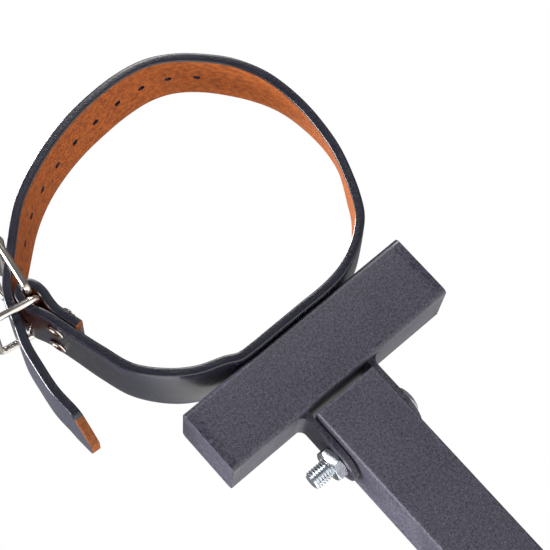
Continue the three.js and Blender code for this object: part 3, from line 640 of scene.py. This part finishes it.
# A thread as one turn of its saw-toothed profile, climbing a pitch, then cut square at both ends.
def threadMesh(radius, pitch, deep, long):
    bm = bmesh.new()
    teeth = math.ceil(long / pitch) + 2
    profile = []
    for tooth in range(teeth):
        base = (tooth - 1) * pitch
        profile += [(radius, base), (radius, base + pitch * 0.12), (radius - deep, base + pitch * 0.48),
                    (radius - deep, base + pitch * 0.64)]
    chain = [bm.verts.new((r, 0, z)) for r, z in profile]
    edges = [bm.edges.new(pair) for pair in zip(chain, chain[1:])]
    steps = 36
    bmesh.ops.spin(bm, geom=chain + edges, cent=(0, 0, 0), axis=(0, 0, 1), angle=2 * math.pi,
                   steps=steps, dvec=(0, 0, pitch / steps), use_merge=False, use_duplicate=False)
    bmesh.ops.remove_doubles(bm, verts=bm.verts, dist=1e-3)
    for height, normal in ((0.0, (0, 0, -1)), (long, (0, 0, 1))):
        everything = list(bm.verts) + list(bm.edges) + list(bm.faces)
        bmesh.ops.bisect_plane(bm, geom=everything, plane_co=(0, 0, height), plane_no=normal, clear_outer=True)
        rim = [edge for edge in bm.edges if edge.is_boundary
               and all(abs(v.co.z - height) < 1e-3 for v in edge.verts)]
        bmesh.ops.contextual_create(bm, geom=rim)
    for vertex in bm.verts:
        left = (long - vertex.co.z) / pitch
        if left < 1.0:
            shrink = 0.84 + 0.16 * max(left, 0)
            vertex.co.x *= shrink
            vertex.co.y *= shrink
    bmesh.ops.recalc_face_normals(bm, faces=bm.faces)
    return bm


# Adds one bmesh to another, moved by a matrix.
def gathered(target, extra, matrix=Matrix.Identity(4)):
    bmesh.ops.transform(extra, matrix=matrix, verts=extra.verts)
    loose = bpy.data.meshes.new("loose")
    extra.to_mesh(loose)
    extra.free()
    target.from_mesh(loose)
    bpy.data.meshes.remove(loose)


def domeHead(radius, high, socket):
    deep = high * 0.62
    return turned([(0, 0), (radius, 0), (radius, high * 0.22), (radius * 0.93, high * 0.52),
                   (radius * 0.78, high * 0.8), (radius * 0.58, high * 0.97), (socket * 1.06, high),
                   (socket, high - 0.25), (socket, high - deep), (0, high - deep - 0.5)], 48)


# Head at local z 0 upwards, shank below it, its last part threaded.
def boltPiece(node, body, axis, threadLong, radius=4.0, headRadius=7.0, headHigh=3.2, socket=2.3, pitch=1.25):
    low, high = boxOf(node)
    way = Vector(axis)
    index = max(range(3), key=lambda i: abs(axis[i]))
    total = high[index] - low[index]
    long = total - headHigh
    place = (low + high) / 2
    place[index] = high[index] - headHigh if axis[index] > 0 else low[index] + headHigh
    bm = domeHead(headRadius, headHigh, socket)
    plain = turned([(0, 0.05), (radius, 0.05), (radius, threadLong - long), (0, threadLong - long)], 36)
    gathered(bm, plain)
    thread = threadMesh(radius, pitch, 0.58 * pitch, threadLong + 0.05)
    gathered(bm, thread, Matrix.Translation((0, 0, -long + threadLong)) @ Matrix.Rotation(math.pi, 4, "X"))
    piece = linked(f"{node}_threaded", placedMesh(meshOf(bm, node, 38), facingAxis(way, place)))
    return finished(piece, body, zinc, [node])


def nutMesh(flats, high, bore):
    across = flats / math.cos(math.pi / 6) / 2
    bm = bmesh.new()
    bmesh.ops.create_cone(bm, cap_ends=True, segments=6, radius1=across, radius2=across, depth=high)
    prism = linked("nut prism", meshOf(bm, "nut"))
    cone = 0.9
    barrel = turned([(0, -high / 2), (flats / 2 * 0.97, -high / 2), (across + 0.02, cone - high / 2),
                     (across + 0.02, high / 2 - cone), (flats / 2 * 0.97, high / 2), (0, high / 2)], 64)
    carve(prism, linked("nut barrel", meshOf(barrel, "barrel")), "INTERSECT")
    drill = turned([(0, -high), (bore + 2.5, -high), (bore + 0.55, -high / 2), (bore, 0.5 - high / 2),
                    (bore, high / 2 - 0.5), (bore + 0.55, high / 2), (bore + 2.5, high), (0, high)], 48)
    carve(prism, linked("nut drill", meshOf(drill, "drill")))
    mesh = prism.data
    bpy.data.objects.remove(prism)
    shaded(mesh, 25)
    return mesh


hexNut = nutMesh(hardware["nutFlats"], 4.6, 4.05)


def nutPiece(node, body, axis, turn):
    spin = Matrix.Rotation(math.radians(turn), 4, "Z")
    mesh = placedMesh(hexNut.copy(), facingAxis(axis, middleOf(node)) @ spin)
    return finished(linked(f"{node}_chamfered", mesh), body, zinc, [node])


def washerPiece(node, body, axis):
    low, high = boxOf(node)
    thick = min(high - low)
    outer, inner = max(high - low) / 2, hardware["boltRadius"] + 0.25
    ease = 0.25
    half = thick / 2
    bm = turned([(inner, -half), (outer - ease, -half), (outer, ease - half), (outer, half - ease),
                 (outer - ease, half), (inner + ease, half), (inner, half - ease), (inner, -half)], 56)
    mesh = placedMesh(meshOf(bm, node), facingAxis(axis, middleOf(node)))
    return finished(linked(f"{node}_turned", mesh), body, zinc, [node])


alongX, againstX, alongY = (1, 0, 0), (-1, 0, 0), (0, 1, 0)
boltPiece("pivot_bolt", "shank", alongX, 17)
nutPiece("pivot_nut", "shank", alongX, 44)
for which in ("low", "high"):
    boltPiece(f"clamp_bolt_{which}", "shank", alongX, 14)
    nutPiece(f"clamp_nut_{which}", "shank", alongX, 5 if which == "low" else 22)
    washerPiece(f"clamp_washer_{which}_head", "shank", alongX)
    washerPiece(f"clamp_washer_{which}_nut", "shank", alongX)
    boltPiece(f"gaff_bolt_{which}", "foot", alongY, 16)
    nutPiece(f"gaff_nut_{which}", "foot", alongY, 8 if which == "low" else 27)
    washerPiece(f"gaff_washer_{which}", "foot", alongY)

bushLow, bushHigh = boxOf("pivot_bush")
bushHalf = (bushHigh.x - bushLow.x) / 2
bush = turned([(4.25, -bushHalf), (6, -bushHalf), (6, bushHalf), (4.25, bushHalf), (4.25, -bushHalf)], 40)
bushMesh = placedMesh(meshOf(bush, "bush"), facingAxis(alongX, middleOf("pivot_bush")))
finished(linked("pivot_bush_turned", bushMesh), "shank", zinc, ["pivot_bush"])

for which in ("front", "rear"):
    node = f"strap_screw_{which}"
    low, high = boxOf(node)
    headHigh, threadLong = 2.2, 5.0
    boltPiece(node, "head", (0, 0, 1), threadLong, radius=2.5, headRadius=5.0, headHigh=headHigh,
              socket=1.7, pitch=0.8)

print("stage: straps")

crossbarLow, crossbarHigh = boxOf("crossbar_tube")
calfPlace = Matrix.Translation(((crossbarLow.x + crossbarHigh.x) / 2, (crossbarLow.y + crossbarHigh.y) / 2,
                                crossbarHigh.z))
footPlace = Matrix.Rotation(math.pi / 2, 4, "Z")

foldRoute = [(-24, -0.7), (-18, -0.7), (-12.5, -0.7), (-8, -2), (-4.5, -3.4), (-0.5, -3.95), (2.8, -2.9),
             (4, 0.1), (2.6, 3), (-0.5, 4.3), (-5, 4.7), (-9, 4), (-13, 3.5), (-18, 3.5), (-24, 3.5)]
fold = {"rivetAlong": -16.4, "rivetEdge": 7.5, "legs": (-0.7, 3.5), "prongSlot": (-3.2, 8), "prongWire": 2.6,
        "keeperBar": (-4.7, 0.8)}

calf = {
    "name": "calf",
    "place": calfPlace,
    "wide": 33, "thick": 4,
    "foldAt": (-70.2, 76.6), "foldTurn": 104.7, "buckleTurn": 82, "keeperTurn": 170,
    "route": [(-64, 39.5, -1), (-59.5, 26.5, -1), (-50, 15, -2.8), (-40.6, 8.4, -3.5), (-29.8, 4.8, -2),
              (-24.5, 2.8), (-18, 2.3), (-8, 2.3), (8, 2.3), (20, 2.3), (30, 3.5, -0.5), (37.4, 6, -1),
              (45, 10, -1.8), (52.2, 16.1, -2.5), (58.3, 24.4, -6.2), (61.7, 31.2, -7.9), (64.6, 37.4, -9.9),
              (67.6, 45.3, -12.5), (69.5, 56.4, -13.2), (69.7, 68.1, -11.8), (68.1, 80.5, -9.8),
              (64.7, 90.7, -6.6), (57.7, 102.5, -3.6), (48.7, 112.5, -3.3), (39.3, 119.7, -1.9), (29, 124, 1),
              (16.3, 125.6, 3.4), (1.5, 125, 4.5), (-10.8, 123.3, 4.5), (-22.8, 120.2, 4.3),
              (-33.2, 116.3, 4.3), (-42.7, 111.5, 5.1), (-50.2, 106.5, 5.7), (-64.3, 93.8, 4),
              (-71.8, 87.2, 2), (-76.7, 81.7, 0.4), (-79.1, 76.3), (-80.9, 70.5), (-84.5, 60.2), (-86.1, 51),
              (-87.6, 39), (-87.3, 27), (-88.1, 14.5)],
    "holes": 12, "holeWide": 3.2,
    "body": "head",
}
footStrap = {
    "name": "foot",
    "place": footPlace,
    "wide": 25, "thick": 4,
    "foldAt": (-18, 102), "foldTurn": 26, "buckleTurn": 12, "keeperTurn": 89,
    "shortRoute": [(-48.6, 92), (-52.2, 86), (-53, 81), (-53, 74), (-53, 67)],
    "longRoute": [(57.3, 8), (57.3, 18), (57.3, 28), (57.3, 38), (57.3, 48), (55.7, 58), (51, 70),
                  (40.5, 82.5), (28.5, 90.5), (16, 96), (7.9, 100), (-1, 104.1), (-8.9, 107.9),
                  (-19.7, 111.7), (-31.7, 110.3), (-42, 106)],
    "holes": 5, "holeWide": 3.2,
    "body": "foot",
}
punchPitch = 12.7
prongHole = (6, 5.7)


def turnedSpot(spot, at, degrees):
    turn = math.radians(degrees)
    u, n = spot
    return (at[0] + u * math.cos(turn) - n * math.sin(turn), at[1] + u * math.sin(turn) + n * math.cos(turn))


# A strap's section: crowned grain side on top, flat flesh side below, rounded edges.
def strapSection(wide, thick, edge=0.8, crown=0.12, steps=3, flats=10):
    half, top = wide / 2, thick / 2
    points = []
    for index in range(flats + 1):
        part = index / flats
        points.append((half - edge - part * (wide - 2 * edge), top - crown + crown * math.sin(part * math.pi)))
    outerLast = len(points) - 1
    for index in range(1, steps + 1):
        turn = math.pi / 2 + index / (steps + 1) * math.pi / 2
        points.append((edge - half + edge * math.cos(turn), top - crown - edge + edge * math.sin(turn)))
    points.append((-half, top - crown - edge))
    points.append((-half, edge - top))
    for index in range(1, steps + 1):
        turn = math.pi + index / (steps + 1) * math.pi / 2
        points.append((edge - half + edge * math.cos(turn), edge - top + edge * math.sin(turn)))
    innerFirst = len(points)
    for index in range(flats + 1):
        points.append((edge - half + index / flats * (wide - 2 * edge), -top))
    innerLast = len(points) - 1
    for index in range(1, steps + 1):
        turn = 1.5 * math.pi + index / (steps + 1) * math.pi / 2
        points.append((half - edge + edge * math.cos(turn), edge - top + edge * math.sin(turn)))
    points.append((half, edge - top))
    points.append((half, top - crown - edge))
    for index in range(1, steps + 1):
        turn = index / (steps + 1) * math.pi / 2
        points.append((half - edge + edge * math.cos(turn), top - crown - edge + edge * math.sin(turn)))
    girths = [0.0]
    for a, b in zip(points, points[1:] + points[:1]):
        girths.append(girths[-1] + (Vector(b) - Vector(a)).length)
    zones = {"outer": (girths[0] - 1, girths[outerLast]), "inner": (girths[innerFirst], girths[innerLast])}
    return points, zones, girths[-1]


# Narrows the last stretch of a strap to its point.
def pointed(frames, runs, tipLong, tipPart):
    end = runs[-1]
    shaped = []
    for frameMatrix, run in zip(frames, runs):
        left = end - run
        part = 1.0
        if left < tipLong:
            part = tipPart + (1 - tipPart) * (left / tipLong) ** 0.8
        shaped.append(frameMatrix @ Matrix.Diagonal((part, 1, 1, 1)))
    return shaped


def roundCutter(radius, reach, matrix, steps=28):
    bm = turned([(0, -reach), (radius, -reach), (radius, reach), (0, reach)], steps)
    return linked("cutter", placedMesh(meshOf(bm, "cutter"), matrix))


def blockCutter(low, high, matrix, ease=0.6):
    bm = bmesh.new()
    size = Vector(high) - Vector(low)
    middle = (Vector(high) + Vector(low)) / 2
    bmesh.ops.create_cube(bm, size=1.0, matrix=Matrix.Translation(middle) @ Matrix.Diagonal((*size, 1)))
    upright = [edge for edge in bm.edges if abs((edge.verts[0].co - edge.verts[1].co).normalized().z) > 0.9]
    bmesh.ops.bevel(bm, geom=upright, offset=ease, offset_type="OFFSET", affect="EDGES", segments=4,
                    profile=0.5, material=-1)
    return linked("cutter", placedMesh(meshOf(bm, "cutter"), matrix))


def foldCutters(strap):
    turn = strap["place"] @ hingeMatrix(strap["foldAt"], strap["foldTurn"])
    half = fold["prongWire"] / 2 + 0.6
    low, high = fold["prongSlot"]
    cutters = [blockCutter((low, -half, -3), (high, half, 8), turn)]
    for side in (-1, 1):
        spot = Matrix.Translation((fold["rivetAlong"], side * (strap["wide"] / 2 - fold["rivetEdge"]), 0))
        cutters.append(roundCutter(2.95, 9, turn @ spot))
    return cutters


def punchCutters(strap, frames, runs):
    target = turnedSpot(prongHole, strap["foldAt"], strap["buckleTurn"])
    goal = Vector((target[0], 0, target[1]))
    half = len(frames) // 2
    nearest = min(range(half, len(frames)), key=lambda i: (frames[i].translation - goal).length)
    first = runs[nearest]
    cutters = []
    for index in range(strap["holes"]):
        run = first - index * punchPitch
        at = min(range(len(runs)), key=lambda i: abs(runs[i] - run))
        shift = frames[at].to_3x3() @ Vector((0, 0, run - runs[at]))
        spot = Matrix.Translation(shift) @ frames[at] @ Matrix.Rotation(math.pi / 2, 4, "X")
        long = Matrix.Diagonal((1.4, 2.7, 1, 1)) if index == 0 else Matrix.Identity(4)
        cutters.append(roundCutter(strap["holeWide"] / 2, 5, strap["place"] @ spot @ long))
    return cutters


def strapPiece(name, strap, route, pitch, withFold, withTip, withHoles, extra, node, material):
    points, _, _ = strapSection(strap["wide"], strap["thick"])
    full = route
    if withFold:
        full = [turnedSpot(spot, strap["foldAt"], strap["foldTurn"]) for spot in foldRoute] + list(route)
    frames, runs = strapFrames(full, pitch)
    shaped = pointed(frames, runs, 11.5, 0.25) if withTip else frames
    bm, _ = swept(points, shaped, runs)
    piece = linked(name, placedMesh(meshOf(bm, name, 50), strap["place"]))
    cutters = (foldCutters(strap) if withFold else []) + (punchCutters(strap, frames, runs) if withHoles else [])
    for cutter in cutters + extra:
        carve(piece, cutter)
    shaded(piece.data, 40)
    return finished(piece, strap["body"], material, [node])


def strapRuns(route, strap, withFold):
    full = list(route)
    if withFold:
        full = [turnedSpot(spot, strap["foldAt"], strap["foldTurn"]) for spot in foldRoute] + full
    return strapFrames(full, 1.2)[1][-1]


_, calfZones, calfGirth = strapSection(calf["wide"], calf["thick"])
_, footZones, footGirth = strapSection(footStrap["wide"], footStrap["thick"])
calfEnd = strapRuns(calf["route"], calf, True)
footEnd = strapRuns(footStrap["longRoute"], footStrap, False)
calfLeather = leatherMaterial("calf strap leather", leatherLook, calfZones, calfGirth,
                              [(-1, 0.3), (calfEnd - 10, calfEnd + 1)], calf["wide"])
footLeather = leatherMaterial("foot strap leather", leatherLook, footZones, footGirth,
                              [(-1, 0.3), (footEnd - 10, footEnd + 1)], footStrap["wide"])
screwCutters = [roundCutter(2.65, 6, Matrix.Translation(middleOf(f"strap_screw_{which}")))
                for which in ("front", "rear")]
strapPiece("calf_strap_leather", calf, calf["route"], 1.2, True, True, True, screwCutters, "calf_strap", calfLeather)


def rivetCutters(nodes, axis):
    return [roundCutter(2.95, 8, facingAxis(axis, middleOf(node))) for node in nodes]


strapPiece("foot_strap_short_leather", footStrap, footStrap["shortRoute"], 1.2, True, False, False,
           rivetCutters(["tube_rivet_front", "tube_rivet_rear"], alongY), "foot_strap_short", footLeather)
strapPiece("foot_strap_long_leather", footStrap, footStrap["longRoute"], 1.2, False, True, True,
           rivetCutters(["arm_rivet_low", "arm_rivet_high"], alongY), "foot_strap_long", footLeather)

print("stage: rivets")

rivetShape = {"head": 4.0, "shank": 2.8, "bore": 2.1, "high": 0.8, "fit": 0.15}


# A tubular rivet with a rolled rim, from its lower end to over its head's seat.
def rivetMesh(low, seat):
    head, shank, bore, high = (rivetShape[key] for key in ("head", "shank", "bore", "high"))
    foot = low - rivetShape["fit"] - high - 0.6
    profile = [(shank, foot), (shank, seat), (head - 0.15, seat), (head, seat + 0.25), (head - 0.1, seat + 0.6),
               (head - 0.7, seat + high - 0.12), (head - 1.3, seat + high), (bore + 0.25, seat + high - 0.15),
               (bore, seat + high - 0.6), (bore, foot), (shank, foot)]
    return meshOf(turned(profile, 36), "rivet", 40)


def burrMesh(low):
    head, shank, high = rivetShape["head"], rivetShape["shank"] + 0.05, rivetShape["high"]
    seat = low - rivetShape["fit"]
    profile = [(shank, seat), (head, seat), (head, seat - 0.4), (head - 0.5, seat - high), (shank, seat - high),
               (shank, seat)]
    return meshOf(turned(profile, 36), "burr", 40)


def foldRivets(strap):
    turn = strap["place"] @ hingeMatrix(strap["foldAt"], strap["foldTurn"])
    low = fold["legs"][0] - strap["thick"] / 2
    seat = fold["legs"][1] + strap["thick"] / 2 + rivetShape["fit"]
    for side, which in ((-1, "near"), (1, "far")):
        spot = Matrix.Translation((fold["rivetAlong"], side * (strap["wide"] / 2 - fold["rivetEdge"]), 0))
        names = (f"{strap['name']}_rivet_{which}", f"{strap['name']}_burr_{which}")
        for node, mesh in zip(names, (rivetMesh(low, seat), burrMesh(low))):
            placedMesh(mesh, turn @ spot)
            finished(linked(f"{node}_rolled", mesh), strap["body"], nickel, [node])


foldRivets(calf)
foldRivets(footStrap)


# The other rivets stand along Y; their heads face away from the metal they hold.
def wallRivet(node, headSign):
    low, high = boxOf(node)
    total = high.y - low.y
    seat = total - rivetShape["high"]
    mesh = rivetMesh(rivetShape["fit"] + rivetShape["high"] + 0.6, seat)
    place = (low + high) / 2
    place.y = low.y if headSign > 0 else high.y
    placedMesh(mesh, facingAxis((0, headSign, 0), place))
    finished(linked(f"{node}_rolled", mesh), "foot", nickel, [node])


for node in ("arm_rivet_low", "arm_rivet_high", "tube_rivet_front", "tube_rivet_rear"):
    wallRivet(node, 1)

print("stage: buckles and keepers")

buckleShape = {"wire": 3.0, "room": 1.5, "long": 25.0, "keeperLong": 20.0, "roller": 6.0, "corner": 3.0}
prongRun = [(1.0, 0, 1.0), (2, 0, 2), (4, 0, 4.2), (6.2, 0, 6.2), (9.5, 0, 7.7), (14, 0, 7.3), (20, 0, 5.8),
            (27.5, 0, 4.7)]


def smoothPoints(points, pitch):
    spots = []
    flat = smoothRun([(*point, 0) for point in points], pitch)
    for spot, _ in flat:
        spots.append(Vector(spot[:3]))
    return spots


def buckleSet(strap):
    wide = strap["wide"] + 2 * buckleShape["room"] + buckleShape["wire"]
    name = strap["name"]
    buckleTurn = strap["place"] @ hingeMatrix(strap["foldAt"], strap["buckleTurn"])
    keeperAt = turnedSpot(fold["keeperBar"], strap["foldAt"], strap["foldTurn"])
    keeperTurn = strap["place"] @ hingeMatrix(keeperAt, strap["keeperTurn"])
    radius = buckleShape["wire"] / 2
    pieces = [
        ("buckle_frame", loopPoints(buckleShape["long"], wide, buckleShape["corner"]), buckleTurn, "buckle"),
        ("keeper_ring", loopPoints(buckleShape["keeperLong"], wide, buckleShape["corner"]), keeperTurn, "keeper"),
    ]
    for part, points, turn, body in pieces:
        mesh = placedMesh(meshOf(wirePiece(points, radius, closed=True), part, 60), turn)
        finished(linked(f"{name}_{part}_wire", mesh), f"{name}_{body}", nickel, [f"{name}_{part}"])
    half = (wide - buckleShape["wire"] - 4) / 2
    bore, outer = radius + 0.2, buckleShape["roller"] / 2
    roller = turned([(bore, -half), (outer - 0.5, -half), (outer, 0.5 - half), (outer, half - 0.5),
                     (outer - 0.5, half), (bore, half), (bore, -half)], 40)
    place = Matrix.Translation((buckleShape["long"], 0, 0)) @ Matrix.Rotation(math.pi / 2, 4, "X")
    mesh = placedMesh(meshOf(roller, "roller"), buckleTurn @ place)
    finished(linked(f"{name}_buckle_roller_turned", mesh), f"{name}_roller", rollerSteel,
             [f"{name}_buckle_roller"])
    tongue = wirePiece(smoothPoints(prongRun, 0.8), 1.3, steps=16)
    eye = turned([(1.72, -1.3), (2.7, -1.3), (2.9, -1.05), (2.9, 1.05), (2.7, 1.3), (1.72, 1.3), (1.72, -1.3)], 32)
    gathered(tongue, eye, Matrix.Rotation(math.pi / 2, 4, "X"))
    bar = turned([(0, -4), (1.7, -4), (1.7, 4), (0, 4)], 32)
    mesh = placedMesh(meshOf(tongue, "prong", 50), buckleTurn)
    prong = linked(f"{name}_prong_bent", mesh)
    barMesh = placedMesh(meshOf(bar, "bar"), buckleTurn @ Matrix.Rotation(math.pi / 2, 4, "X"))
    carve(prong, linked("bar", barMesh))
    shaded(prong.data, 40)
    finished(prong, f"{name}_prong", nickel, [f"{name}_buckle_prong"])


rollerSteel = metalMaterial("roller", metalLooks["nickel"])
buckleSet(calf)
buckleSet(footStrap)

print("stage: light, floor and camera")

studio = {
    "floorColour": (0.86, 0.86, 0.85, 1),
    "cameraPlace": (-0.1694, -0.7152, 0.2783),
    "right": (0.74825, -0.05256, -0.66133),
    "up": (0.60753, -0.34618, 0.71489),
    "ahead": (0.26651, 0.93670, 0.22709),
    "lens": 36.0 * 1700.0 / 550.0,
    "backdrop": 1.0,
    "ambient": 0.2,
}

bm = bmesh.new()
bmesh.ops.create_grid(bm, x_segments=8, y_segments=8, size=3.0,
                      matrix=Matrix.Translation((0, 0, cadBox[0][2] - 0.0005)))
floor = linked("floor", meshOf(bm, "floor"))
floorMaterial, tree, shader, where = newMaterial("pale floor")
tone = blendColour(tree, noise(tree, where, 3.0, 2.0), studio["floorColour"], (0.82, 0.82, 0.82, 1))
tree.links.new(tone, shader.inputs["Base Color"])
shader.inputs["Roughness"].default_value = 0.8
floor.data.materials.append(floorMaterial)

world = bpy.data.worlds.new("studio")
bpy.context.scene.world = world
world.use_nodes = True
tree = world.node_tree
tree.nodes.clear()
seen = put(tree, "ShaderNodeBackground")
seen.inputs["Color"].default_value = (1, 1, 1, 1)
seen.inputs["Strength"].default_value = studio["backdrop"]
lighting = put(tree, "ShaderNodeBackground")
lighting.inputs["Color"].default_value = (0.96, 0.98, 1, 1)
lighting.inputs["Strength"].default_value = studio["ambient"]
path = put(tree, "ShaderNodeLightPath")
mixed = put(tree, "ShaderNodeMixShader")
tree.links.new(path.outputs["Is Camera Ray"], mixed.inputs[0])
tree.links.new(lighting.outputs[0], mixed.inputs[1])
tree.links.new(seen.outputs[0], mixed.inputs[2])
tree.links.new(mixed.outputs[0], put(tree, "ShaderNodeOutputWorld").inputs[0])

target = Vector((0.0, -0.068, 0.42))


def areaLight(name, place, size, power):
    data = bpy.data.lights.new(name, "AREA")
    data.shape = "DISK"
    data.size = size
    data.energy = power
    light = bpy.data.objects.new(name, data)
    light.location = place
    light.rotation_euler = (target - Vector(place)).to_track_quat("-Z", "Y").to_euler()
    bpy.context.scene.collection.objects.link(light)


areaLight("key", (0.50, -0.75, 1.15), 0.45, 8.5)
areaLight("side", (-0.85, -0.14, 0.95), 0.6, 38)
areaLight("back", (-0.1, 0.45, 1.35), 0.4, 16)

cameraData = bpy.data.cameras.new("view")
cameraData.lens = studio["lens"]
cameraData.sensor_width = 36.0
camera = bpy.data.objects.new("view", cameraData)
camera.matrix_world = axesMatrix(Vector(studio["right"]), Vector(studio["up"]), -Vector(studio["ahead"]),
                                 Vector(studio["cameraPlace"]))
bpy.context.scene.collection.objects.link(camera)
bpy.context.scene.camera = camera
bpy.context.scene.view_settings.view_transform = "Standard"

print("stage: done")
